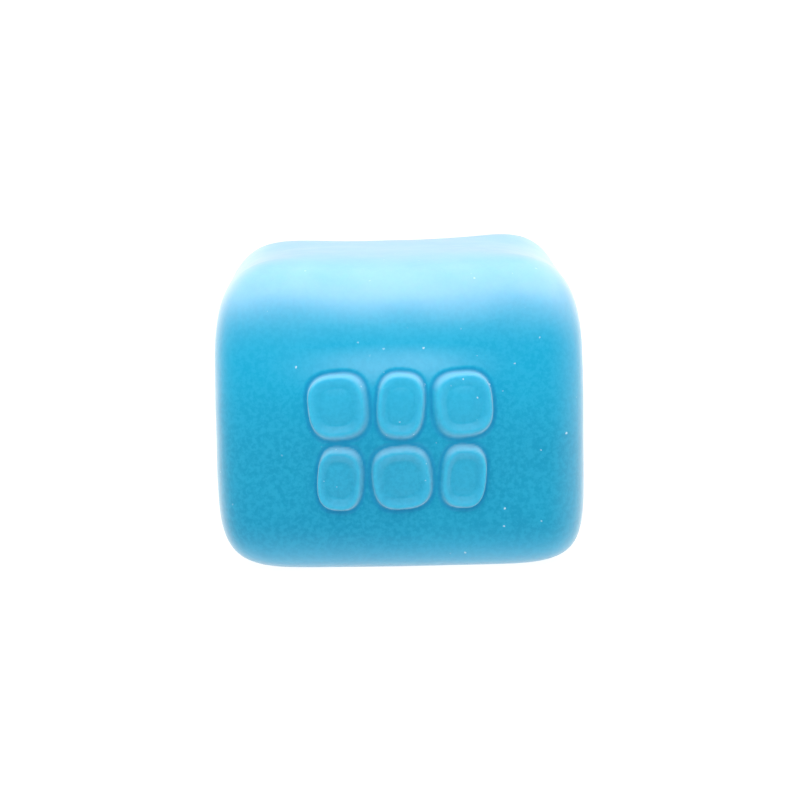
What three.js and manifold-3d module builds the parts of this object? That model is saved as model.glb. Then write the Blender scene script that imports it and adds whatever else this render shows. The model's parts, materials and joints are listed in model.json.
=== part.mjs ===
// A soft squeeze cube: a moulded rubber skin round a dough filling, slumped under its own weight.
// Millimetres, +Z up, origin on the floor under the middle of the cube, motif on the -Y face.
import * as THREE from "three";
import { mergeVertices } from "three/addons/utils/BufferGeometryUtils.js";
import Module from "manifold-3d";

// The standing cube
const HALF_WIDTH = 30.55; // at the widest level, before the sides swell
const HEIGHT = 52.6;
const WIDEST_LEVEL = 23; // height of the widest level above the floor
const PLAN_POWER = 8; // superellipse power of the level sections
const UPPER_POWER = 4.6; // power of the outline above the widest level
const LOWER_POWER = 6.3; // power of the outline below it
const RIGHT_SQUARENESS = 0.065; // share by which the lower power rises to the right and falls to the left
const FLOOR_PRESS = 0.85; // how much of the underside the floor presses flat
const FACE_SWELL = 0.45; // each side swells by this much at its middle
const TOP_SAG = 1.4; // the middle of the top lies this far below its corners
const CORNER_LIFT = 1; // the right rear corner of the top stands this much higher
const CORNER_REACH = 22; // distance of the top's corners from the middle planes

// The skin's wall, the gap left between neighbouring pieces, and the level at which the skin is parted
const WALL = 2.6;
const GAP = 0.3;
const PART_LEVEL = 22;

// The raised motif: rows of rounded pebbles, wide and narrow by turns, each with a raised rim
const MOTIF_ROWS = 2;
const MOTIF_COLUMNS = 3;
const PEBBLE_HEIGHT = 10.2;
const WIDE_PEBBLE = 9.4;
const NARROW_PEBBLE = 7.2;
const PEBBLE_SPACING = 1.5;
const PEBBLE_POWER = 2.8; // superellipse power of a pebble's outline
const PEBBLE_TURN = THREE.MathUtils.degToRad(5);
const RIM_RELIEF = 0.8; // height of a pebble's rim above the skin
const HOLLOW_RELIEF = 0.45; // height of the hollow inside the rim
const PILLOW_RELIEF = 0.6; // height of the pebble's middle
const PEBBLE_ROOT = 1; // depth of the pebble's root in the skin

// The fill plug and its ring of adhesive, in a flat seat in the middle of the rear face
const SEAT_DEPTH = 0.9;
const SHANK_RADIUS = 3;
const HEAD_RADIUS = 4.6;
const HEAD_THICKNESS = 0.9;
const HEAD_CROWN = 0.3; // how far the middle of the head is domed above its edge
const BARB_RADIUS = 4.4;
const BARB_THICKNESS = 1.2;
const SEAL_WIDTH = 1;
const SEAL_THICKNESS = 0.7;

// Mesh fineness
const OUTER_STEPS = 22;
const INNER_STEPS = 14;
const PEBBLE_SEGMENTS = 24;
const ROUND_SEGMENTS = 32;

const wasm = await Module();
wasm.setup();

function solidOf(geometry) {
  const bare = geometry.clone();
  bare.deleteAttribute("normal");
  bare.deleteAttribute("uv");
  const merged = mergeVertices(bare, 1e-4);
  return new wasm.Manifold(
    new wasm.Mesh({
      numProp: 3,
      vertProperties: new Float32Array(merged.attributes.position.array),
      triVerts: new Uint32Array(merged.index.array),
    }),
  );
}

function meshOf(name, solid, material) {
  const made = solid.getMesh();
  const geometry = new THREE.BufferGeometry();
  geometry.setAttribute("position", new THREE.BufferAttribute(made.vertProperties, 3));
  geometry.setIndex(new THREE.BufferAttribute(made.triVerts, 1));
  geometry.computeVertexNormals();
  const mesh = new THREE.Mesh(geometry, new THREE.MeshStandardMaterial(material));
  mesh.name = name;
  return mesh;
}

// The power of the upright outline in a direction from the middle of the widest level.
function outlinePower(x, y, z) {
  const towardsRight = THREE.MathUtils.clamp((Math.SQRT2 * x) / Math.hypot(x, y, z), -1, 1);
  return z >= 0 ? UPPER_POWER : LOWER_POWER * (1 + RIGHT_SQUARENESS * towardsRight);
}

// How far the plain form reaches up or down from the widest level, `inset` mm inside the surface.
function reachOf(above, inset) {
  return (above ? HEIGHT - WIDEST_LEVEL : WIDEST_LEVEL + FLOOR_PRESS) - inset;
}

// The surface point `inset` mm inside the cube's outside, in a direction from the middle of the
// widest level. The plain form is a superellipsoid; the floor, the swelling of the sides, the sag of
// the top and its one high corner are then laid over it.
function surfacePoint(direction, inset) {
  const power = outlinePower(direction.x, direction.y, direction.z);
  const plan = Math.abs(direction.x) ** PLAN_POWER + Math.abs(direction.y) ** PLAN_POWER;
  const size = (plan ** (power / PLAN_POWER) + Math.abs(direction.z) ** power) ** (-1 / power);
  const quarterTurns = Math.cos(2 * Math.atan2(direction.y, direction.x)) ** 2;
  const across = size * (HALF_WIDTH - inset) * (1 + (FACE_SWELL / HALF_WIDTH) * quarterTurns);
  const x = direction.x * across;
  const y = direction.y * across;
  const plainZ = WIDEST_LEVEL + direction.z * size * reachOf(direction.z >= 0, inset);
  const z = Math.max(plainZ, inset);
  const towardsCorner = THREE.MathUtils.clamp((x * y) / CORNER_REACH ** 2, -1, 1);
  const towardsTop = (z / HEIGHT) ** 6;
  const lift = x > 0 && y > 0 ? CORNER_LIFT * towardsCorner ** 2 : 0;
  const sag = TOP_SAG * (1 - towardsCorner ** 2);
  return new THREE.Vector3(x, y, z + towardsTop * (lift - sag));
}

// A closed shell of the six sides of a cube, each a grid that is denser towards its edges, drawn out
// to the surface.
function slumpedCube(inset, steps) {
  const box = new THREE.BoxGeometry(2, 2, 2, steps, steps, steps);
  const positions = box.attributes.position;
  const spread = (t) => Math.sin(1.15 * t) / Math.sin(1.15);
  for (let i = 0; i < positions.count; i++) {
    const [x, y, z] = [positions.getX(i), positions.getY(i), positions.getZ(i)].map(spread);
    const point = surfacePoint(new THREE.Vector3(x, y, z), inset);
    positions.setXYZ(i, point.x, point.y, point.z);
  }
  return solidOf(box);
}

// The direction of the front face's point at a distance `across` and a height `up` on the plain form.
function frontDirection(across, up) {
  const x = across / HALF_WIDTH;
  const z = (up - WIDEST_LEVEL) / reachOf(up >= WIDEST_LEVEL, 0);
  const power = outlinePower(x, -1, z);
  const plan = (1 - Math.abs(z) ** power) ** (PLAN_POWER / power);
  return new THREE.Vector3(x, -((plan - Math.abs(x) ** PLAN_POWER) ** (1 / PLAN_POWER)), z);
}

// One raised pebble, rooted in the skin: rings of points from the root up over the rim to the middle.
function pebble(middleX, middleZ, width, turn) {
  const rings = [
    { share: 1, relief: -PEBBLE_ROOT },
    { share: 1, relief: 0 },
    { share: 0.96, relief: 0.6 * RIM_RELIEF },
    { share: 0.86, relief: RIM_RELIEF },
    { share: 0.74, relief: 0.85 * RIM_RELIEF },
    { share: 0.58, relief: HOLLOW_RELIEF },
    { share: 0.3, relief: PILLOW_RELIEF },
  ];
  const at = (share, relief, angle) => {
    const [c, s] = [Math.cos(angle), Math.sin(angle)];
    const outline = (Math.abs(c) ** PEBBLE_POWER + Math.abs(s) ** PEBBLE_POWER) ** (-1 / PEBBLE_POWER);
    const u = (share * outline * c * width) / 2;
    const v = (share * outline * s * PEBBLE_HEIGHT) / 2;
    const across = middleX + u * Math.cos(turn) - v * Math.sin(turn);
    const up = middleZ + u * Math.sin(turn) + v * Math.cos(turn);
    return surfacePoint(frontDirection(across, up), -relief);
  };
  const points = [at(0, -PEBBLE_ROOT, 0)];
  rings.forEach(({ share, relief }) => {
    for (let i = 0; i < PEBBLE_SEGMENTS; i++) {
      points.push(at(share, relief, (2 * Math.PI * i) / PEBBLE_SEGMENTS));
    }
  });
  points.push(at(0, PILLOW_RELIEF, 0));
  const last = points.length - 1;
  const faces = [];
  for (let i = 0; i < PEBBLE_SEGMENTS; i++) {
    const next = (i + 1) % PEBBLE_SEGMENTS;
    faces.push(0, 1 + next, 1 + i);
    for (let r = 0; r < rings.length - 1; r++) {
      const [low, high] = [1 + r * PEBBLE_SEGMENTS, 1 + (r + 1) * PEBBLE_SEGMENTS];
      faces.push(low + i, low + next, high + i, low + next, high + next, high + i);
    }
    const top = 1 + (rings.length - 1) * PEBBLE_SEGMENTS;
    faces.push(top + i, top + next, last);
  }
  const geometry = new THREE.BufferGeometry().setFromPoints(points);
  geometry.setIndex(faces);
  return solidOf(geometry);
}

function motif() {
  const pebbles = [];
  for (let row = 0; row < MOTIF_ROWS; row++) {
    const widths = Array.from({ length: MOTIF_COLUMNS }, (_, column) =>
      (row + column) % 2 ? NARROW_PEBBLE : WIDE_PEBBLE,
    );
    const length = widths.reduce((sum, width) => sum + width + PEBBLE_SPACING, -PEBBLE_SPACING);
    const up = ((MOTIF_ROWS - 1) / 2 - row) * (PEBBLE_HEIGHT + PEBBLE_SPACING);
    let left = -length / 2;
    widths.forEach((width, column) => {
      const turn = (row + column) % 2 ? -PEBBLE_TURN : PEBBLE_TURN;
      pebbles.push(pebble(left + width / 2, PART_LEVEL + up, width, turn));
      left += width + PEBBLE_SPACING;
    });
  }
  return pebbles;
}

// A solid turned about the plug's axis. The profile's points are [radius, distance outwards from the
// middle plane], from the inner end to the outer end.
function turned(profile) {
  const lathe = new THREE.LatheGeometry(
    profile.map(([radius, out]) => new THREE.Vector2(radius, out)),
    ROUND_SEGMENTS,
  );
  lathe.translate(0, 0, PART_LEVEL);
  return solidOf(lathe);
}

function bar(radius, from, to) {
  return turned([[0, from], [radius, from], [radius, to], [0, to]]);
}

const rear = surfacePoint(new THREE.Vector3(0, 1, (PART_LEVEL - WIDEST_LEVEL) / HEIGHT), 0).y;
const seat = rear - SEAT_DEPTH;
const innerWall = rear - WALL;
const barbInner = innerWall - GAP - BARB_THICKNESS;
const sealInnerRadius = HEAD_RADIUS + GAP;
const seatRadius = sealInnerRadius + SEAL_WIDTH + GAP;

const core = slumpedCube(WALL + GAP, INNER_STEPS).subtract(bar(BARB_RADIUS + GAP, barbInner - GAP, rear));

const plug = turned([
  [0, barbInner],
  [BARB_RADIUS - 0.8, barbInner],
  [BARB_RADIUS, innerWall - GAP - 0.4],
  [BARB_RADIUS, innerWall - GAP],
  [SHANK_RADIUS, innerWall - GAP],
  [SHANK_RADIUS, seat + GAP],
  [HEAD_RADIUS, seat + GAP],
  [HEAD_RADIUS, seat + GAP + HEAD_THICKNESS - HEAD_CROWN],
  [HEAD_RADIUS - 0.5, seat + GAP + HEAD_THICKNESS - 0.1],
  [HEAD_RADIUS / 2, seat + GAP + HEAD_THICKNESS],
  [0, seat + GAP + HEAD_THICKNESS],
]);

const seal = turned([
  [sealInnerRadius, seat + GAP],
  [sealInnerRadius + SEAL_WIDTH, seat + GAP],
  [sealInnerRadius + SEAL_WIDTH, seat + GAP + 0.6 * SEAL_THICKNESS],
  [sealInnerRadius + 0.6 * SEAL_WIDTH, seat + GAP + SEAL_THICKNESS],
  [sealInnerRadius, seat + GAP + 0.8 * SEAL_THICKNESS],
  [sealInnerRadius, seat + GAP],
]);

const skin = motif()
  .reduce((whole, one) => whole.add(one), slumpedCube(0, OUTER_STEPS))
  .subtract(slumpedCube(WALL, INNER_STEPS))
  .subtract(bar(seatRadius, seat, rear + SEAT_DEPTH))
  .subtract(bar(SHANK_RADIUS + GAP, barbInner, rear));

// The half of the skin above or below the parting, half the gap away from it.
function skinHalf(above) {
  const slab = new THREE.BoxGeometry(4 * HALF_WIDTH, 4 * HALF_WIDTH, 2 * HEIGHT);
  slab.translate(0, 0, PART_LEVEL + (above ? -1 : 1) * (HEIGHT - GAP / 2));
  return skin.subtract(solidOf(slab));
}

const rubber = { color: 0x2fa9d8, roughness: 0.55 };
const group = new THREE.Group();
group.add(
  meshOf("skin_lower", skinHalf(false), rubber),
  meshOf("skin_upper", skinHalf(true), rubber),
  meshOf("dough_core", core, { color: 0xdff0f4, roughness: 0.6 }),
  meshOf("fill_plug", plug, { color: 0x2a9fcd, roughness: 0.5 }),
  meshOf("plug_seal", seal, { color: 0xd6eef6, roughness: 0.25 }),
);

export default group;
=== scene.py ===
"""Looks of the soft squeeze cube: its filled rubber skin, the filling, the fill plug and the adhesive."""

import json
import math

import bpy
import numpy as np
from mathutils import Matrix, Vector, noise

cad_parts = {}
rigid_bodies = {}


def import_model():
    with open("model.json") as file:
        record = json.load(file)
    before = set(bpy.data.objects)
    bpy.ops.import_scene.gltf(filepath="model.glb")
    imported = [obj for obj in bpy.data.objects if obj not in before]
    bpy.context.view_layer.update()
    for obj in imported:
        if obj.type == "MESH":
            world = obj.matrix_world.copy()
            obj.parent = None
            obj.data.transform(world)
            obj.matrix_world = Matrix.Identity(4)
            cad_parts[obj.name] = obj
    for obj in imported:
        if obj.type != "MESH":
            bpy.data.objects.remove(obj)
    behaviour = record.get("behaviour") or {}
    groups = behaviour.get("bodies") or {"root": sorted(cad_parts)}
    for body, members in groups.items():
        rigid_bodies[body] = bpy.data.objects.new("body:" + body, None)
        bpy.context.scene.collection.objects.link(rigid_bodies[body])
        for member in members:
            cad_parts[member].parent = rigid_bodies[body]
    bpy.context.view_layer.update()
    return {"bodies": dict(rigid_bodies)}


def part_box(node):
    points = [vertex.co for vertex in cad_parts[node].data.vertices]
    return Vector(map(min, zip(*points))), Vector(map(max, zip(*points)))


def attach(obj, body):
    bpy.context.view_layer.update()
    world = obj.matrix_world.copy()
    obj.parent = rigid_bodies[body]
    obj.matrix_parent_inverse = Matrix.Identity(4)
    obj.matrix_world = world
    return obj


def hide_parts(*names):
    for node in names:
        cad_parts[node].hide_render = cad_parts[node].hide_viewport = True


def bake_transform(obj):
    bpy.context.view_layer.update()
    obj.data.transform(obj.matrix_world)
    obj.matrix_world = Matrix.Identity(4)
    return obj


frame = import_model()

scene = bpy.context.scene
MM = 0.001

# ---------------------------------------------------------------- dimensions, in millimetres
HALF_WIDTH = 30.55  # at the widest level, before the sides swell
HEIGHT = 52.6
WIDEST_LEVEL = 23.0
PLAN_POWER = 8.0  # superellipse power of the level sections
UPPER_POWER = 4.6  # power of the outline above the widest level
LOWER_POWER = 6.3  # power of the outline below it
RIGHT_SQUARENESS = 0.065  # share by which the lower power rises to the right and falls to the left
FLOOR_PRESS = 0.85  # how much of the underside the floor presses flat
FACE_SWELL = 0.45  # each side swells by this much at its middle
TOP_SAG = 1.4  # the middle of the top lies this far below its corners
TOP_FADE_POWER = 6  # how fast the sag and the lift fade below the top
CORNER_LIFT = 1.0  # the right rear corner of the top stands this much higher
CORNER_REACH = 22.0  # distance of the top's corners from the middle planes
FACE_LIMIT = 20.0  # what lies farther out than this towards the front or the rear is on that face

WALL = 2.6
GAP = 0.3
FILLING_GAP = 0.8

MOTIF_LEVEL = 22.0
MOTIF_ROWS = 2
MOTIF_COLUMNS = 3
PEBBLE_HEIGHT = 10.2
WIDE_PEBBLE = 9.4
NARROW_PEBBLE = 7.2
PEBBLE_SPACING = 1.5
PEBBLE_POWER = 2.8  # superellipse power of a pebble's outline
PEBBLE_TURN = math.radians(5)

# A pebble's relief against the share of its radius: a low pillow, a hollow, a rounded rim, a soft groove.
RELIEF_SHARES = [0, 0.3, 0.58, 0.74, 0.84, 0.92, 0.98, 1.02, 1.08, 1.2]
RELIEF_HEIGHTS = [0.62, 0.58, 0.44, 0.68, 0.82, 0.72, 0.3, -0.02, -0.12, 0]

# The soft mound that the pebbles stand on. It fades out over the spans given for its sides and its top.
MOUND_HEIGHT = 1.15
MOUND_MIDDLE = -1.5
MOUND_SIDES = (3.0, 26.0)
MOUND_TOP = (29.8, 38.0)
MOUND_ARCH = 1.6  # how much lower its top edge is at its sides
MOUND_FOOT = 8.0

# The slow unevenness of the walls: two waves, which fade out towards the plug and the floor.
LONG_WAVE = 17
LONG_WAVE_HEIGHT = 0.16
SHORT_WAVE = 7
SHORT_WAVE_HEIGHT = 0.07
SHORT_WAVE_START = Vector((9, 4, 2))
EVEN_BY_PLUG = (9, 14)
EVEN_BY_FLOOR = (1, 8)

PLUG_LEVEL = 22.0
SEAT_DEPTH = 0.9
SHANK_RADIUS = 3.0
HEAD_RADIUS = 4.6
HEAD_THICKNESS = 0.9
BARB_RADIUS = 4.4
BARB_THICKNESS = 1.2
BARB_DENT_EASE = 15  # how far the barb's dent in the filling eases out past the barb
SEAL_WIDTH = 1.0
SEAL_THICKNESS = 0.7
SEAT_RADIUS = HEAD_RADIUS + SEAL_WIDTH + 2 * GAP
BORE_RADIUS = SHANK_RADIUS + GAP

# How the cube bulges as it is pressed: growth in width for each share of its height lost, at the two
# pressed faces and, added to that, at mid-height.
END_GROWTH = 0.45
MIDDLE_GROWTH = 0.406

# Round the plug the skin keeps with the plug out to PLUG_HOLD. It eases into the bulge over OUT_EASE and
# into the descent over DOWN_EASE, or DOWN_EASE_ABOVE more from ABOVE_PLUG over the plug's middle upwards.
# Forward of the span FRONT_EASE it is free.
PLUG_HOLD = 6.6
OUT_EASE = 8.0
DOWN_EASE = 11.0
DOWN_EASE_ABOVE = 8.0
ABOVE_PLUG = 12
FRONT_EASE = (8.0, 24.0)

# ---------------------------------------------------------------- grids
# Cells from the middle of the widest level to each side, to the front and the rear, down and up.
OUTER_GRID = (32, 32, 21, 31)
INNER_GRID = (14, 14, 11, 15)
GRID_SPREAD = 1.15

# Blocks of cells, as first and last column, first and last row.
MOTIF_BLOCK = (18, 46, 8, 38)
MOTIF_CUTS = 5
OUTER_HOLE = (24, 40, 14, 30)
INNER_HOLE = (6, 22, 2, 18)

PLUG_SEGMENTS = 96
SEAL_SEGMENTS = 120
SEAL_SIDES = 14

# ---------------------------------------------------------------- camera
CAMERA_AZIMUTH = math.radians(-0.7)
CAMERA_ELEVATION = math.radians(8.1)
CAMERA_ROLL = math.radians(-1.1)
CAMERA_DISTANCE = 0.443
CAMERA_TARGET = Vector((0.0003, 0, 0.0244))
CAMERA_LENS = 114.8
CAMERA_SENSOR = 36
CAMERA_CLIP = (0.01, 20)


def add_camera():
    data = bpy.data.cameras.new("camera")
    camera = bpy.data.objects.new("camera", data)
    scene.collection.objects.link(camera)
    back = Vector((
        math.sin(CAMERA_AZIMUTH) * math.cos(CAMERA_ELEVATION),
        -math.cos(CAMERA_AZIMUTH) * math.cos(CAMERA_ELEVATION),
        math.sin(CAMERA_ELEVATION),
    ))
    place = Matrix.Translation(CAMERA_TARGET + back * CAMERA_DISTANCE)
    turn = (-back).to_track_quat("-Z", "Y").to_matrix().to_4x4()
    camera.matrix_world = place @ turn @ Matrix.Rotation(CAMERA_ROLL, 4, "Z")
    data.lens = CAMERA_LENS
    data.sensor_width = CAMERA_SENSOR
    data.clip_start, data.clip_end = CAMERA_CLIP
    scene.camera = camera


add_camera()


# ---------------------------------------------------------------- the cube's surface
def smooth(value, low, high):
    t = np.clip((value - low) / (high - low), 0, 1)
    return t * t * (3 - 2 * t)


def reach_of(above, inset):
    """How far the outline reaches up or down from the widest level."""
    return np.where(above, HEIGHT - WIDEST_LEVEL, WIDEST_LEVEL + FLOOR_PRESS) - inset


def outline_power(x, y, z):
    """The power of the upright outline in a direction from the middle of the widest level."""
    towards_right = np.clip(math.sqrt(2) * x / np.sqrt(x * x + y * y + z * z), -1, 1)
    return np.where(z >= 0, UPPER_POWER, LOWER_POWER * (1 + RIGHT_SQUARENESS * towards_right))


def swell_towards(x, y):
    """How much wider the swell of the sides makes the cube in a level direction."""
    return 1 + FACE_SWELL / HALF_WIDTH * np.cos(2 * np.arctan2(y, x)) ** 2


def surface_points(directions, inset):
    """Points inset mm inside the cube's outside, in directions from the middle of the widest level."""
    x, y, z = directions.T
    power = outline_power(x, y, z)
    plan = np.abs(x) ** PLAN_POWER + np.abs(y) ** PLAN_POWER
    size = (plan ** (power / PLAN_POWER) + np.abs(z) ** power) ** (-1 / power)
    across = size * (HALF_WIDTH - inset) * swell_towards(x, y)
    px, py = x * across, y * across
    pz = np.maximum(WIDEST_LEVEL + z * size * reach_of(z >= 0, inset), inset)
    corner = np.clip(px * py / CORNER_REACH**2, -1, 1)
    top = (pz / HEIGHT) ** TOP_FADE_POWER
    lift = np.where((px > 0) & (py > 0), CORNER_LIFT * corner**2, 0)
    return np.stack([px, py, pz + top * (lift - TOP_SAG * (1 - corner**2))], axis=1)


def rear_directions(across, up):
    """Directions of the points of the rear face at those places, before its sides swell."""
    x = across / HALF_WIDTH
    z = (up - WIDEST_LEVEL) / reach_of(up >= WIDEST_LEVEL, 0)
    power = outline_power(x, np.ones(len(x)), z)
    plan = (1 - np.abs(z) ** power) ** (PLAN_POWER / power)
    return np.stack([x, (plan - np.abs(x) ** PLAN_POWER) ** (1 / PLAN_POWER), z], axis=1)


def rear_points(across, up, inset=0.0):
    """Points inset mm inside the rear face, at those true places, so that a circle stays round."""
    wider = HALF_WIDTH / (HALF_WIDTH - inset)
    taller = reach_of(up >= WIDEST_LEVEL, 0) / reach_of(up >= WIDEST_LEVEL, inset)
    level = WIDEST_LEVEL + (up - WIDEST_LEVEL) * taller
    plain = across * wider / swell_towards(across, HALF_WIDTH)
    return surface_points(rear_directions(plain, level), inset)


REAR = float(rear_points(np.zeros(1), np.array([PLUG_LEVEL]))[0, 1])
SEAT = REAR - SEAT_DEPTH
INNER = REAR - WALL


def pebbles():
    """Middle, half sizes and turn of each pebble of the motif."""
    found = []
    for row in range(MOTIF_ROWS):
        widths = [NARROW_PEBBLE if (row + column) % 2 else WIDE_PEBBLE for column in range(MOTIF_COLUMNS)]
        length = sum(widths) + PEBBLE_SPACING * (MOTIF_COLUMNS - 1)
        up = MOTIF_LEVEL + ((MOTIF_ROWS - 1) / 2 - row) * (PEBBLE_HEIGHT + PEBBLE_SPACING)
        left = -length / 2
        for column, width in enumerate(widths):
            turn = -PEBBLE_TURN if (row + column) % 2 else PEBBLE_TURN
            found.append((left + width / 2, up, width / 2, PEBBLE_HEIGHT / 2, turn))
            left += width + PEBBLE_SPACING
    return found


def motif_relief(across, up):
    """The relief of the pebbles in mm. Where two meet, the one that moves the skin more counts."""
    relief = np.zeros(len(across))
    for middle_x, middle_z, half_width, half_height, turn in pebbles():
        dx, dz = across - middle_x, up - middle_z
        u = (dx * math.cos(turn) + dz * math.sin(turn)) / half_width
        v = (dz * math.cos(turn) - dx * math.sin(turn)) / half_height
        share = (np.abs(u) ** PEBBLE_POWER + np.abs(v) ** PEBBLE_POWER) ** (1 / PEBBLE_POWER)
        one = np.interp(share, RELIEF_SHARES, RELIEF_HEIGHTS, right=0)
        relief = np.where(np.abs(one) > np.abs(relief), one, relief)
    return relief


def motif_mound(across, up):
    """The height of the soft mound in mm: highest above the pebbles, and fading out below."""
    aside = np.abs(across - MOUND_MIDDLE)
    level = up + MOUND_ARCH * (aside / MOUND_SIDES[1]) ** 2
    rise = smooth(up, MOUND_FOOT, MOUND_TOP[0]) * (1 - smooth(level, *MOUND_TOP))
    return MOUND_HEIGHT * rise * (1 - smooth(aside, *MOUND_SIDES))


def unevenness(points):
    """The slow unevenness of the soft walls, in mm."""
    long_wave = np.array([noise.noise(Vector(p) / LONG_WAVE) for p in points])
    short_wave = np.array([noise.noise(Vector(p) / SHORT_WAVE + SHORT_WAVE_START) for p in points])
    from_plug = np.hypot(points[:, 0], points[:, 2] - PLUG_LEVEL)
    clear_of_plug = np.where(points[:, 1] > 0, smooth(from_plug, *EVEN_BY_PLUG), 1)
    waves = LONG_WAVE_HEIGHT * long_wave + SHORT_WAVE_HEIGHT * short_wave
    return waves * smooth(points[:, 2], *EVEN_BY_FLOOR) * clear_of_plug


# ---------------------------------------------------------------- mesh building
class Shell:
    """Directions and faces of one mesh. Vertices go by key, so that neighbouring sides share an edge."""

    def __init__(self):
        self.keys = {}
        self.directions = []
        self.faces = []

    def vertex(self, key, direction):
        if key not in self.keys:
            self.keys[key] = len(self.keys)
            self.directions.append(direction)
        return self.keys[key]


def lines(low, high):
    """Grid lines from -1 to 1, closer together towards both ends."""
    steps = [i / low for i in range(-low, 0)] + [i / high for i in range(high + 1)]
    return [math.sin(GRID_SPREAD * step) / math.sin(GRID_SPREAD) for step in steps]


def in_block(block, column, row):
    """Whether a block of cells, which may be none, holds the cell."""
    return bool(block) and block[0] <= column < block[1] and block[2] <= row < block[3]


def cube_grid(shell, sides, depth, down, up, fine=None, cuts=1, hole=None, flip=False):
    """The six sides of a cube as grids of directions. fine is a block of the front side that is cut finer,
    with cuts parts to each cell's edge. hole is a block of the rear side left open. Returns its edge."""
    axes = [lines(sides, sides), lines(depth, depth), lines(down, up)]
    counts = [len(axis) - 1 for axis in axes]
    grid = len(shell.keys)

    def at(key):
        place = []
        for axis, number in zip(axes, key):
            whole, part = divmod(number, cuts)
            step = (axis[whole + 1] - axis[whole]) * part / cuts if part else 0
            place.append(axis[whole] + step)
        return shell.vertex((grid, *key), tuple(place))

    def add_face(loop):
        shell.faces.append(loop[::-1] if flip else loop)

    def add_cell(corners):
        """A whole cell, with the fine vertices along any edge that it shares with the fine block."""
        loop = []
        for corner, following in zip(corners, corners[1:] + corners[:1]):
            loop.append(at(corner))
            step = [(b - a) // cuts for a, b in zip(corner, following)]
            between = [tuple(a + s * n for a, s in zip(corner, step)) for n in range(1, cuts)]
            loop += [at(key) for key in between if (grid, *key) in shell.keys]
        add_face(loop)

    if fine:
        first_column, last_column, first_row, last_row = (number * cuts for number in fine)
        for i in range(first_column, last_column):
            for k in range(first_row, last_row):
                add_face([at((i, 0, k)), at((i + 1, 0, k)), at((i + 1, 0, k + 1)), at((i, 0, k + 1))])

    for fixed in range(3):
        first, second = (fixed + 1) % 3, (fixed + 2) % 3
        for end in (0, counts[fixed]):
            for i in range(counts[first]):
                for j in range(counts[second]):
                    if fixed == 1 and in_block(hole if end else fine, j, i):
                        continue
                    corners = []
                    for di, dj in ((0, 0), (1, 0), (1, 1), (0, 1)):
                        key = [0, 0, 0]
                        key[fixed] = end * cuts
                        key[first] = (i + di) * cuts
                        key[second] = (j + dj) * cuts
                        corners.append(tuple(key))
                    add_cell(corners if end else corners[::-1])

    if not hole:
        return []
    left, right, bottom, top = hole
    edge = [(i, bottom) for i in range(left, right)]
    edge += [(right, k) for k in range(bottom, top)]
    edge += [(i, top) for i in range(right, left, -1)]
    edge += [(left, k) for k in range(top, bottom, -1)]
    return [at((i * cuts, counts[1] * cuts, k * cuts)) for i, k in edge]


def bridge(shell, ring, following):
    """Joins a ring of vertices to the next ring, which has as many."""
    for i in range(len(ring)):
        j = (i + 1) % len(ring)
        shell.faces.append([ring[i], following[i], following[j], ring[j]])


def add_places(mesh, name, values):
    attribute = mesh.attributes.new(name, "FLOAT_VECTOR", "POINT")
    attribute.data.foreach_set("vector", values.astype(np.float32).ravel())


def mesh_object(name, points, faces, material):
    """A smooth mesh of points given in mm, which remembers where they rest."""
    places = np.asarray(points) * MM
    mesh = bpy.data.meshes.new(name)
    mesh.from_pydata(places.tolist(), [], faces)
    mesh.validate()
    mesh.polygons.foreach_set("use_smooth", [True] * len(mesh.polygons))
    add_places(mesh, "rest_place", places)
    mesh.materials.append(material)
    made = bpy.data.objects.new(name, mesh)
    scene.collection.objects.link(made)
    return made


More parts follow.
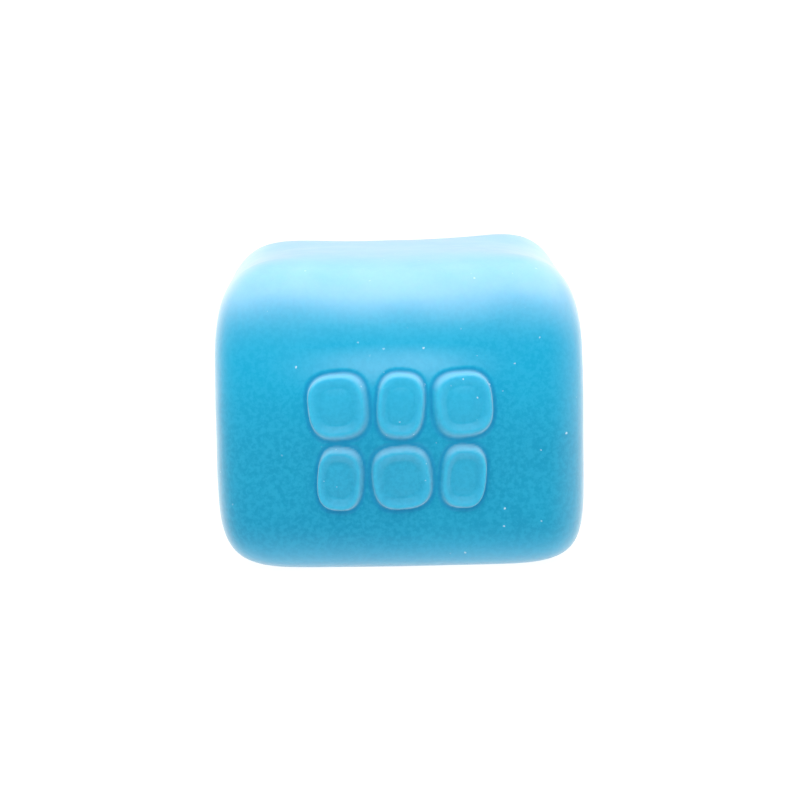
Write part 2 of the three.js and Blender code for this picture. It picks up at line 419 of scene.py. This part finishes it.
# ---------------------------------------------------------------- materials
class Nodes:
    """Short ways to add and join the nodes of one material."""

    def __init__(self, name):
        self.material = bpy.data.materials.new(name)
        self.material.use_nodes = True
        self.tree = self.material.node_tree
        self.shader = self.tree.nodes["Principled BSDF"]

    def add(self, kind, **settings):
        node = self.tree.nodes.new(kind)
        for key, value in settings.items():
            setattr(node, key, value)
        return node

    def join(self, source, target):
        self.tree.links.new(source, target)

    def place(self, name="rest_place"):
        return self.add("ShaderNodeAttribute", attribute_name=name).outputs["Vector"]

    def split(self, vector):
        node = self.add("ShaderNodeSeparateXYZ")
        self.join(vector, node.inputs[0])
        return node.outputs["X"], node.outputs["Y"], node.outputs["Z"]

    def noise(self, place, scale, detail, roughness=0.5):
        node = self.add("ShaderNodeTexNoise")
        node.inputs["Scale"].default_value = scale
        node.inputs["Detail"].default_value = detail
        node.inputs["Roughness"].default_value = roughness
        self.join(place, node.inputs["Vector"])
        return node.outputs["Fac"]

    def cells(self, place, scale):
        node = self.add("ShaderNodeTexVoronoi")
        node.inputs["Scale"].default_value = scale
        self.join(place, node.inputs["Vector"])
        return node.outputs["Distance"], node.outputs["Color"]

    def range(self, value, low, high, to_low, to_high):
        node = self.add("ShaderNodeMapRange", interpolation_type="SMOOTHSTEP")
        sockets = ("From Min", "From Max", "To Min", "To Max")
        for socket, number in zip(sockets, (low, high, to_low, to_high)):
            node.inputs[socket].default_value = number
        self.join(value, node.inputs["Value"])
        return node.outputs["Result"]

    def cloud(self, place, scale, detail, to_low=0, to_high=1, roughness=0.5, half_range=0.2):
        """Noise stretched to two limits, which it reaches at half_range below and above its middle."""
        values = self.noise(place, scale, detail, roughness)
        return self.range(values, 0.5 - half_range, 0.5 + half_range, to_low, to_high)

    def math(self, operation, *values):
        node = self.add("ShaderNodeMath", operation=operation)
        for socket, value in zip(node.inputs, values):
            if isinstance(value, (int, float)):
                socket.default_value = value
            else:
                self.join(value, socket)
        return node.outputs["Value"]

    def mix(self, factor, a, b):
        node = self.add("ShaderNodeMix", data_type="RGBA")
        self.join(factor, node.inputs[0])
        for socket, value in ((node.inputs[6], a), (node.inputs[7], b)):
            if isinstance(value, tuple):
                socket.default_value = (*value, 1)
            else:
                self.join(value, socket)
        return node.outputs[2]

    def tint(self, colour, over, mask, share):
        """The colour with another laid over it, by that share where the mask is 1."""
        return self.mix(self.math("MULTIPLY", mask, share), colour, over)

    def bump(self, height, distance, strength, normal=None):
        node = self.add("ShaderNodeBump")
        node.inputs["Strength"].default_value = strength
        node.inputs["Distance"].default_value = distance
        self.join(height, node.inputs["Height"])
        if normal is not None:
            self.join(normal, node.inputs["Normal"])
        return node.outputs["Normal"]

    def set(self, **values):
        for name, value in values.items():
            socket = self.shader.inputs[name.replace("_", " ")]
            if hasattr(value, "is_output"):
                self.join(value, socket)
            else:
                socket.default_value = value


# The skin's colours, in pairs where they are mottled, and the share of each one laid over the rest.
DEEP_BLUES = ((0.0, 0.27, 0.46), (0.001, 0.30, 0.49))
# The lighter blues are painted light: the skin is painted lighter higher up, as if lit from above, and
# lighter again close to the floor, as painted bounce light from the floor.
PAINTED_LIT_BLUES = ((0.0, 0.365, 0.60), (0.002, 0.395, 0.635))
PAINTED_LIGHT_LEVELS = (0.017, 0.037)  # levels between which the blue turns from deep to light
PAINTED_BOUNCE_LEVELS = (0.001, 0.008)  # levels up to which it is lighter again close to the floor
PAINTED_BOUNCE_SHARE = 0.75
GRAIN_BLUE = (0.05, 0.58, 0.83)
GRAIN_SHARE = 0.17
# A painted highlight on the pebbles' rims and painted shade in the grooves round them.
RIM_HIGHLIGHT_BLUE = (0.10, 0.60, 0.86)
RIM_SHARE = 0.34
GROOVE_SHADE_BLUE = (0.0, 0.25, 0.50)
GROOVE_SHARE = 0.6
# The pale powder colour is partly powder and partly painted light: painted top light on faces looking up,
# painted bounce light on the underside and a painted rim light on the two right-hand upright edges.
POWDER_AND_LIGHT = (0.48, 0.705, 0.90)
POWDER_AND_LIGHT_SHARES = (0.50, 0.60)
SPECK = (0.75, 0.9, 0.97)
SPECK_SHARE = 0.6


def specks(nodes, place):
    """A few specks of ragged shape and varied size, in some of the cells of a fine pattern."""
    distance, colour = nodes.cells(place, 480)
    chance, size, _ = nodes.split(colour)
    ragged = nodes.math("MULTIPLY_ADD", size, 0.05, nodes.cloud(place, 3200, 2, 0, 0.06))
    near = nodes.range(nodes.math("ADD", distance, ragged), 0.08, 0.15, 1, 0)
    return nodes.math("MULTIPLY", near, nodes.range(chance, 0.6, 0.95, 0, 1))


def skin_material():
    """Satin rubber: deep blue, with painted light on it: lighter blue higher up and close to the floor,
    painted highlights on the pebbles' rims and painted shade in their grooves, and a pale powder colour,
    partly powder and partly painted light, on faces looking up, on the underside and on the two right-hand
    upright edges; with a few specks.
    """
    nodes = Nodes("skin_rubber")
    place = nodes.place()
    rim, groove, powder_and_light_tone = nodes.split(nodes.place("highlight_shade_and_powder_tone"))
    cloud = nodes.cloud(place, 45, 4)
    _, _, level = nodes.split(place)
    # Painted light: the blue turns lighter with height, and lighter again close to the floor.
    painted_light_share = nodes.range(level, *PAINTED_LIGHT_LEVELS, 0, 1)
    painted_light_share = nodes.math("MAXIMUM", painted_light_share, nodes.range(level, *PAINTED_BOUNCE_LEVELS, PAINTED_BOUNCE_SHARE, 0))
    deep = nodes.mix(cloud, *DEEP_BLUES)
    light = nodes.mix(cloud, *PAINTED_LIT_BLUES)
    colour = nodes.mix(painted_light_share, deep, light)
    grain = nodes.cloud(place, 1200, 2, roughness=0.7, half_range=0.15)
    colour = nodes.tint(colour, GRAIN_BLUE, grain, GRAIN_SHARE)
    # Painted highlight on the pebbles' rims, painted shade in their grooves.
    colour = nodes.tint(colour, RIM_HIGHLIGHT_BLUE, rim, RIM_SHARE)
    colour = nodes.tint(colour, GROOVE_SHADE_BLUE, groove, GROOVE_SHARE)
    # Powder and painted light: the pale powder colour, laid on by the third tone.
    powder_and_light_film = nodes.math("MULTIPLY", powder_and_light_tone, nodes.cloud(place, 90, 5, *POWDER_AND_LIGHT_SHARES, roughness=0.6))
    colour = nodes.mix(powder_and_light_film, colour, POWDER_AND_LIGHT)
    speck = specks(nodes, place)
    colour = nodes.tint(colour, SPECK, speck, SPECK_SHARE)
    rough = nodes.cloud(place, 220, 3, 0.42, 0.56)
    fine = nodes.noise(place, 2600, 2, 0.6)
    ripple = nodes.noise(place, 300, 3)
    normal = nodes.bump(ripple, 0.0001, 0.35)
    normal = nodes.bump(fine, 0.00004, 0.35, normal)
    normal = nodes.bump(speck, 0.00006, 0.5, normal)
    nodes.set(
        Base_Color=colour,
        Roughness=rough,
        Normal=normal,
        Subsurface_Weight=0.35,
        Subsurface_Radius=(0.25, 0.8, 1.0),
        Subsurface_Scale=0.003,
        Specular_IOR_Level=0.12,
        Sheen_Weight=0.75,
        Sheen_Roughness=0.42,
    )
    return nodes.material


def dough_material():
    """Pale, slightly lumpy dough."""
    nodes = Nodes("dough")
    place = nodes.place()
    colour = nodes.mix(nodes.cloud(place, 120, 4), (0.70, 0.86, 0.9), (0.84, 0.93, 0.95))
    normal = nodes.bump(nodes.noise(place, 500, 4), 0.0004, 0.6)
    rough = nodes.cloud(place, 260, 2, 0.5, 0.7)
    nodes.set(Base_Color=colour, Roughness=rough, Normal=normal)
    nodes.set(Subsurface_Weight=0.3, Subsurface_Scale=0.004)
    return nodes.material


def plug_material():
    """Moulded rubber, close to the skin's blue and without the skin's pale powder colour, which is partly
    powder and partly painted light.
    """
    nodes = Nodes("plug_rubber")
    place = nodes.place()
    colour = nodes.mix(nodes.cloud(place, 160, 4), (0.008, 0.30, 0.52), (0.014, 0.36, 0.6))
    grain = nodes.cloud(place, 1800, 2, roughness=0.7, half_range=0.15)
    colour = nodes.tint(colour, (0.06, 0.5, 0.74), grain, 0.12)
    rough = nodes.cloud(place, 300, 3, 0.38, 0.55)
    normal = nodes.bump(nodes.noise(place, 2400, 2, 0.6), 0.00005, 0.4)
    nodes.set(Base_Color=colour, Roughness=rough, Normal=normal)
    nodes.set(Subsurface_Weight=0.2, Subsurface_Scale=0.002)
    return nodes.material


def adhesive_material():
    """Cured adhesive: paler and glossier than the rubber round it."""
    nodes = Nodes("cured_adhesive")
    place = nodes.place()
    colour = nodes.mix(nodes.cloud(place, 350, 3), (0.20, 0.60, 0.78), (0.38, 0.74, 0.87))
    rough = nodes.cloud(place, 700, 2, 0.12, 0.26)
    normal = nodes.bump(nodes.noise(place, 600, 3), 0.00012, 0.6)
    nodes.set(Base_Color=colour, Roughness=rough, Normal=normal)
    nodes.set(Subsurface_Weight=0.4, Subsurface_Scale=0.002)
    return nodes.material


# ---------------------------------------------------------------- the bulge
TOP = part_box("skin_upper")[1].z


def bulge_nodes():
    """Geometry nodes that move each point to where the press leaves it: down with the skin, and out as
    the filling is squeezed aside. Points close to the plug keep with the plug."""
    tree = bpy.data.node_groups.new("squeeze_bulge", "GeometryNodeTree")
    tree.interface.new_socket("Geometry", in_out="INPUT", socket_type="NodeSocketGeometry")
    tree.interface.new_socket("Geometry", in_out="OUTPUT", socket_type="NodeSocketGeometry")

    def node(kind, **settings):
        made = tree.nodes.new(kind)
        for key, value in settings.items():
            setattr(made, key, value)
        return made

    def calc(operation, *values):
        made = node("ShaderNodeMath", operation=operation)
        for socket, value in zip(made.inputs, values):
            if isinstance(value, (int, float)):
                socket.default_value = value
            else:
                tree.links.new(value, socket)
        return made.outputs[0]

    def split(vector):
        made = node("ShaderNodeSeparateXYZ")
        tree.links.new(vector, made.inputs[0])
        return made.outputs[0], made.outputs[1], made.outputs[2]

    def place_of(body):
        made = node("GeometryNodeObjectInfo", transform_space="ORIGINAL")
        made.inputs["Object"].default_value = frame["bodies"][body]
        return split(made.outputs["Location"])

    def blended(a, b, share):
        return calc("ADD", a, calc("MULTIPLY", calc("SUBTRACT", b, a), share))

    def clamped(value):
        made = node("ShaderNodeClamp")
        tree.links.new(value, made.inputs[0])
        return made.outputs[0]

    def eased(value):
        square = calc("MULTIPLY", value, value)
        slope = calc("SUBTRACT", 3, calc("MULTIPLY", 2, value))
        return calc("MULTIPLY", square, slope)

    start, end = node("NodeGroupInput"), node("NodeGroupOutput")
    rest = node("GeometryNodeInputNamedAttribute", data_type="FLOAT_VECTOR")
    rest.inputs["Name"].default_value = "rest_place"
    x, y, z = split(rest.outputs["Attribute"])
    lost = calc("MULTIPLY", place_of("top")[2], -1)
    _, plug_out, plug_down = place_of("plug")

    level = clamped(calc("DIVIDE", z, TOP))
    bell = calc("MULTIPLY", calc("MULTIPLY", 4, level), calc("SUBTRACT", 1, level))
    growth = calc("ADD", END_GROWTH, calc("MULTIPLY", bell, MIDDLE_GROWTH))
    growth = calc("MULTIPLY", calc("DIVIDE", lost, TOP), growth)
    side, out = calc("MULTIPLY", x, growth), calc("MULTIPLY", y, growth)
    down = calc("MULTIPLY", calc("MULTIPLY", eased(level), lost), -1)

    above = calc("SUBTRACT", z, PLUG_LEVEL * MM)
    reach = calc("SQRT", calc("ADD", calc("POWER", x, 2), calc("POWER", above, 2)))
    beyond = calc("SUBTRACT", reach, PLUG_HOLD * MM)
    more = calc("MULTIPLY", clamped(calc("DIVIDE", above, ABOVE_PLUG * MM)), DOWN_EASE_ABOVE * MM)
    behind = calc("DIVIDE", calc("SUBTRACT", y, FRONT_EASE[0] * MM), (FRONT_EASE[1] - FRONT_EASE[0]) * MM)
    ahead = calc("SUBTRACT", 1, eased(clamped(behind)))

    def free(ease):
        return calc("MAXIMUM", eased(clamped(calc("DIVIDE", beyond, ease))), ahead)

    free_out, free_down = free(OUT_EASE * MM), free(calc("ADD", DOWN_EASE * MM, more))
    moved = node("ShaderNodeCombineXYZ")
    tree.links.new(calc("ADD", x, blended(0, side, free_out)), moved.inputs[0])
    tree.links.new(calc("ADD", y, blended(plug_out, out, free_out)), moved.inputs[1])
    tree.links.new(calc("ADD", z, blended(plug_down, down, free_down)), moved.inputs[2])
    put = node("GeometryNodeSetPosition")
    tree.links.new(start.outputs[0], put.inputs["Geometry"])
    tree.links.new(moved.outputs[0], put.inputs["Position"])
    tree.links.new(put.outputs[0], end.inputs[0])
    return tree


BULGE = bulge_nodes()


def squeezes(piece):
    """The piece is pressed with the cube, between its underside and its top, and bulges as it is."""
    modifier = piece.modifiers.new("bulge", "NODES")
    modifier.node_group = BULGE
    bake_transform(piece)


# ---------------------------------------------------------------- the skin
def outer_wall(directions):
    """Points of the outer wall in those directions, and the relief of the motif at each."""
    plain = surface_points(directions, 0.0)
    front = plain[:, 1] < -FACE_LIMIT
    swell = swell_towards(plain[front, 0], plain[front, 1])
    relief = np.zeros(len(plain))
    relief[front] = motif_relief(plain[front, 0] / swell, plain[front, 2])
    mound = np.where(front, motif_mound(plain[:, 0], plain[:, 2]), 0)
    return surface_points(directions, -relief - mound - unevenness(plain)), relief


def seat_rings(outer_edge, inner_edge):
    """Rings of points from the hole in the outer wall over the rim of the plug's seat, into the seat,
    through the bore, and along the inner wall to its hole. Both edges are given about the plug's axis."""
    circle = outer_edge / np.linalg.norm(outer_edge, axis=1)[:, None]

    def round_at(radius):
        return circle * radius

    def towards(radius, share, edge):
        return edge * (1 - share) + circle * radius * share

    def on_wall(place, sunk=0.0, inset=0.0):
        across, up = place[:, 0], place[:, 1] + PLUG_LEVEL
        return np.stack([across, rear_points(across, up, inset)[:, 1] - sunk, up], axis=1)

    def flat_at(out, radius):
        place = round_at(radius)
        return np.stack([place[:, 0], np.full(len(place), out), place[:, 1] + PLUG_LEVEL], axis=1)

    return [
        on_wall(towards(SEAT_RADIUS + 1.9, 0.4, outer_edge)),
        on_wall(towards(SEAT_RADIUS + 1.6, 0.8, outer_edge)),
        on_wall(round_at(SEAT_RADIUS + 1.2)),
        on_wall(round_at(SEAT_RADIUS + 0.7), sunk=-0.05),
        on_wall(round_at(SEAT_RADIUS + 0.35)),
        on_wall(round_at(SEAT_RADIUS + 0.15), sunk=0.14),
        on_wall(round_at(SEAT_RADIUS + 0.02), sunk=0.4),
        flat_at(SEAT + 0.12, SEAT_RADIUS),
        flat_at(SEAT, SEAT_RADIUS - 0.12),
        flat_at(SEAT, HEAD_RADIUS - 0.2),
        flat_at(SEAT, BORE_RADIUS + 0.2),
        flat_at(SEAT - 0.15, BORE_RADIUS),
        flat_at(INNER + 0.15, BORE_RADIUS),
        flat_at(INNER, BORE_RADIUS + 0.2),
        on_wall(round_at(BORE_RADIUS + 2.7), inset=WALL),
        on_wall(towards(BORE_RADIUS + 5.7, 0.85, inner_edge), inset=WALL),
        on_wall(towards(BORE_RADIUS + 5.7, 0.6, inner_edge), inset=WALL),
        on_wall(towards(BORE_RADIUS + 5.7, 0.3, inner_edge), inset=WALL),
    ]


# Spans over which the tones of the skin's paint rise from 0 to 1: by relief in mm, or by how much of the
# surface's normal points the way named.
# RIM_FOOT and RIM_TOP set where the painted highlight on the pebbles' rims rises, GROOVE where the painted
# shade in the grooves does.
RIM_FOOT = (0.2, 0.5)
RIM_TOP = (0.55, 0.82)
GROOVE = (0.0, 0.08)
FACING_UP = (0.02, 0.62)
FACING_STRAIGHT_UP = (0.9, 1)
FACING_DOWN = (0.05, 0.8)
RIGHT_EDGES = (0.15, 0.7)

# Shares of the full powder colour, which is partly powder and partly painted light: how much less of it
# lies on level tops and on pebbles, and how much lies elsewhere: on the underside, partly powder and
# partly painted bounce light, and on the two right-hand upright edges, a painted rim light.
LEVEL_TOP_LOSS = 0.22
PEBBLE_LOSS = 0.5
UNDERSIDE_POWDER_AND_BOUNCE = 0.28
RIGHT_EDGE_PAINTED_RIM_LIGHT = 0.16


def skin_tones(normals, relief):
    """Tones that the skin's paint follows at each vertex: a painted highlight by how high it stands on a
    pebble, painted shade by how deep it lies in a groove, and the share of the powder colour, partly
    powder and partly painted light, by which way it faces.
    The vertices that relief speaks of come first."""
    outer = len(relief)
    tones = np.zeros((len(normals), 3))
    tones[:outer, 0] = 0.5 * smooth(relief, *RIM_FOOT) + 0.5 * smooth(relief, *RIM_TOP)
    tones[:outer, 1] = smooth(-relief, *GROOVE)
    # The powder colour's share: partly powder, partly painted top light on faces looking up, painted
    # bounce light underneath and a painted rim light on the right-hand upright edges.
    up = normals[:, 2]
    on_top = smooth(up, *FACING_UP) * (1 - LEVEL_TOP_LOSS * smooth(up, *FACING_STRAIGHT_UP))
    on_top[:outer] *= 1 - PEBBLE_LOSS * (relief != 0)
    underneath = UNDERSIDE_POWDER_AND_BOUNCE * smooth(-up, *FACING_DOWN)
    towards_right_edge = np.minimum(normals[:, 0], np.abs(normals[:, 1]))
    tones[:, 2] = on_top + underneath + RIGHT_EDGE_PAINTED_RIM_LIGHT * smooth(towards_right_edge, *RIGHT_EDGES)
    return tones


def make_skin():
    shell = Shell()
    outer = cube_grid(shell, *OUTER_GRID, fine=MOTIF_BLOCK, cuts=MOTIF_CUTS, hole=OUTER_HOLE)
    outer_count = len(shell.keys)
    inner = cube_grid(shell, *INNER_GRID, hole=INNER_HOLE, flip=True)
    directions = np.array(shell.directions)
    outer_points, relief = outer_wall(directions[:outer_count])
    points = np.vstack([outer_points, surface_points(directions[outer_count:], WALL)])

    ring = outer
    edges = [points[edge][:, [0, 2]] - [0, PLUG_LEVEL] for edge in (outer, inner)]
    for places in seat_rings(*edges):
        following = list(range(len(points), len(points) + len(places)))
        bridge(shell, ring, following)
        points = np.vstack([points, places])
        ring = following
    bridge(shell, ring, inner)

    made = mesh_object("skin", points, shell.faces, skin_material())
    normals = np.array([v.normal for v in made.data.vertices])
    # The tones hold the painted highlight on pebble rims, the painted shade in grooves and the powder
    # colour that is partly painted light.
    add_places(made.data, "highlight_shade_and_powder_tone", skin_tones(normals, relief))
    squeezes(made)
    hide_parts("skin_upper", "skin_lower")


def make_filling():
    """The dough: clear of the skin by FILLING_GAP, with a dent behind the plug's barb."""
    shell = Shell()
    cube_grid(shell, *INNER_GRID)
    points = surface_points(np.array(shell.directions), WALL + FILLING_GAP)
    from_plug = np.hypot(points[:, 0], points[:, 2] - PLUG_LEVEL)
    depth = BARB_THICKNESS + 2 * GAP
    dent = depth * (1 - smooth(from_plug, BARB_RADIUS + GAP, BARB_RADIUS + BARB_DENT_EASE))
    points[:, 1] -= np.where(points[:, 1] > FACE_LIMIT, dent, 0)
    made = mesh_object("dough_filling", points, shell.faces, dough_material())
    squeezes(made)
    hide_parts("dough_core")


# ---------------------------------------------------------------- plug and adhesive
# The unevenness of the turned pieces: waves in their radius, and half as high along the axis. They shift
# by WAVE_SHIFT from one point of the profile to the next.
WAVE_SHIFT = 0.31
RADIUS_WAVES = 2.3
AXIS_WAVES = 1.7
AXIS_WAVES_START = Vector((5, 1, 3))
PLUG_UNEVENNESS = 0.03
SEAL_UNEVENNESS = 0.09

# The share of its width that the seal fills, and half the share of its thickness.
SEAL_FILL = 0.97
SEAL_HALF_HEIGHT = 0.42


def turned(name, profile, segments, material, wobble, closed=False):
    """A solid turned about the plug's axis from (radius, distance out) pairs, and slightly uneven."""
    points = []
    rings = []
    for index, (radius, out) in enumerate(profile):
        start = len(points)
        if radius == 0:
            points.append((0, out, PLUG_LEVEL))
            rings.append([start])
            continue
        for i in range(segments):
            angle = 2 * math.pi * i / segments
            way = Vector((math.cos(angle), math.sin(angle), index * WAVE_SHIFT))
            grown = radius + wobble * noise.noise(way * RADIUS_WAVES)
            lift = 0.5 * wobble * noise.noise(way * AXIS_WAVES + AXIS_WAVES_START)
            points.append((grown * math.cos(angle), out + lift, PLUG_LEVEL + grown * math.sin(angle)))
        rings.append(list(range(start, start + segments)))
    faces = []
    pairs = list(zip(rings, rings[1:])) + ([(rings[-1], rings[0])] if closed else [])
    for a, b in pairs:
        for i in range(segments):
            j = (i + 1) % segments
            loop = [a[i % len(a)], a[j % len(a)], b[j % len(b)], b[i % len(b)]]
            faces.append(list(dict.fromkeys(loop))[::-1])
    return mesh_object(name, points, faces, material)


def make_plug():
    """The plug from the inside out: barb, shank and head, with a groove and a nub moulded in."""
    face = SEAT + GAP
    top = face + HEAD_THICKNESS
    inner = INNER - GAP
    barb = [
        (0, inner - BARB_THICKNESS),
        (BARB_RADIUS - 0.9, inner - BARB_THICKNESS),
        (BARB_RADIUS - 0.4, inner - BARB_THICKNESS + 0.3),
        (BARB_RADIUS, inner - 0.45),
        (BARB_RADIUS, inner - 0.1),
        (BARB_RADIUS - 0.1, inner),
    ]
    shank = [
        (SHANK_RADIUS + 0.15, inner),
        (SHANK_RADIUS, inner + 0.15),
        (SHANK_RADIUS, face - 0.15),
        (SHANK_RADIUS + 0.15, face),
    ]
    head = [
        (HEAD_RADIUS - 0.1, face),
        (HEAD_RADIUS, face + 0.1),
        (HEAD_RADIUS, top - 0.42),
        (HEAD_RADIUS - 0.08, top - 0.24),
        (HEAD_RADIUS - 0.28, top - 0.12),
        (HEAD_RADIUS - 0.6, top - 0.06),
        (HEAD_RADIUS - 1.0, top - 0.05),
        (HEAD_RADIUS - 1.15, top - 0.16),
        (HEAD_RADIUS - 1.4, top - 0.2),
        (HEAD_RADIUS - 1.6, top - 0.14),
        (HEAD_RADIUS - 1.9, top - 0.04),
    ]
    nub = [
        (1.2, top),
        (0.85, top - 0.02),
        (0.7, top + 0.06),
        (0.5, top + 0.1),
        (0.2, top + 0.08),
        (0, top + 0.07),
    ]
    profile = barb + shank + head + nub
    made = turned("fill_plug_moulded", profile, PLUG_SEGMENTS, plug_material(), PLUG_UNEVENNESS)
    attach(made, "plug")
    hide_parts("fill_plug")


def make_seal():
    """The rounded bead of adhesive round the plug's head, about GAP clear of the seat."""
    low = SEAT + GAP
    middle = HEAD_RADIUS + GAP + SEAL_WIDTH / 2
    profile = []
    for i in range(SEAL_SIDES):
        angle = 2 * math.pi * i / SEAL_SIDES
        across = middle + math.cos(angle) * SEAL_WIDTH / 2 * SEAL_FILL
        out = low + SEAL_THICKNESS * SEAL_HALF_HEIGHT * (1 + math.sin(angle))
        profile.append((across, out))
    material = adhesive_material()
    made = turned("plug_adhesive", profile, SEAL_SEGMENTS, material, SEAL_UNEVENNESS, closed=True)
    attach(made, "plug")
    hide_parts("plug_seal")


make_skin()
make_filling()
make_plug()
make_seal()


# ---------------------------------------------------------------- floor, light and surroundings
FLOOR_HALF = 1.5
FLOOR_LEVEL = -0.0001
FLOOR_GREY = 0.16
FLOOR_GLOW = 0.88
FLOOR_SEEN_GLOW = 0.95
FRONT_LIGHT = 0.05
BACK_LIGHT = 1.0
BACK_LIGHT_WAY = Vector((0.32, 1, 0))
BACK_LIGHT_SPAN = (-0.7, 0.6)
TOP_LIGHT = 2.15
TOP_LIGHT_WAY = Vector((-0.1, -0.45, 0.88))
TOP_LIGHT_SPAN = (0.4, 0.95)
WORLD_SEEN = 1.2


def add_floor():
    """A pale table that glows, so that it shows hardly a shadow."""
    mesh = bpy.data.meshes.new("floor")
    signs = ((-1, -1), (1, -1), (1, 1), (-1, 1))
    corners = [(x * FLOOR_HALF, y * FLOOR_HALF, FLOOR_LEVEL) for x, y in signs]
    mesh.from_pydata(corners, [], [(0, 1, 2, 3)])
    nodes = Nodes("floor_white")
    nodes.set(Base_Color=(FLOOR_GREY, FLOOR_GREY, FLOOR_GREY, 1), Roughness=1.0, Specular_IOR_Level=0.0)
    seen = nodes.add("ShaderNodeLightPath").outputs["Is Camera Ray"]
    glow = nodes.range(seen, 0, 1, FLOOR_GLOW, FLOOR_SEEN_GLOW)
    nodes.set(Emission_Color=(1, 1, 1, 1), Emission_Strength=glow)
    mesh.materials.append(nodes.material)
    floor = bpy.data.objects.new("floor", mesh)
    scene.collection.objects.link(floor)


def add_world():
    """A white studio: bright overhead, white behind the object, dim on the side of its front."""
    world = bpy.data.worlds.new("studio")
    scene.world = world
    world.use_nodes = True
    tree = world.node_tree

    def node(kind, **settings):
        made = tree.nodes.new(kind)
        for key, value in settings.items():
            setattr(made, key, value)
        return made

    def ramp(value, low, high, to_low, to_high):
        made = node("ShaderNodeMapRange", interpolation_type="SMOOTHSTEP")
        for socket, number in zip(made.inputs[1:5], (low, high, to_low, to_high)):
            socket.default_value = number
        tree.links.new(value, made.inputs[0])
        return made.outputs[0]

    def dot(way):
        made = node("ShaderNodeVectorMath", operation="DOT_PRODUCT")
        tree.links.new(place, made.inputs[0])
        made.inputs[1].default_value = way.normalized()
        return made.outputs["Value"]

    place = node("ShaderNodeTexCoord").outputs["Generated"]
    around = ramp(dot(BACK_LIGHT_WAY), *BACK_LIGHT_SPAN, FRONT_LIGHT, BACK_LIGHT)
    overhead = ramp(dot(TOP_LIGHT_WAY), *TOP_LIGHT_SPAN, 0, TOP_LIGHT)
    both = node("ShaderNodeMath", operation="ADD")
    tree.links.new(around, both.inputs[0])
    tree.links.new(overhead, both.inputs[1])
    seen = node("ShaderNodeMix", data_type="FLOAT")
    tree.links.new(node("ShaderNodeLightPath").outputs["Is Camera Ray"], seen.inputs[0])
    tree.links.new(both.outputs[0], seen.inputs[2])
    seen.inputs[3].default_value = WORLD_SEEN
    shade = tree.nodes["Background"]
    shade.inputs["Color"].default_value = (1, 1, 1, 1)
    tree.links.new(seen.outputs[0], shade.inputs["Strength"])


add_floor()
add_world()
scene.view_settings.view_transform = "Standard"
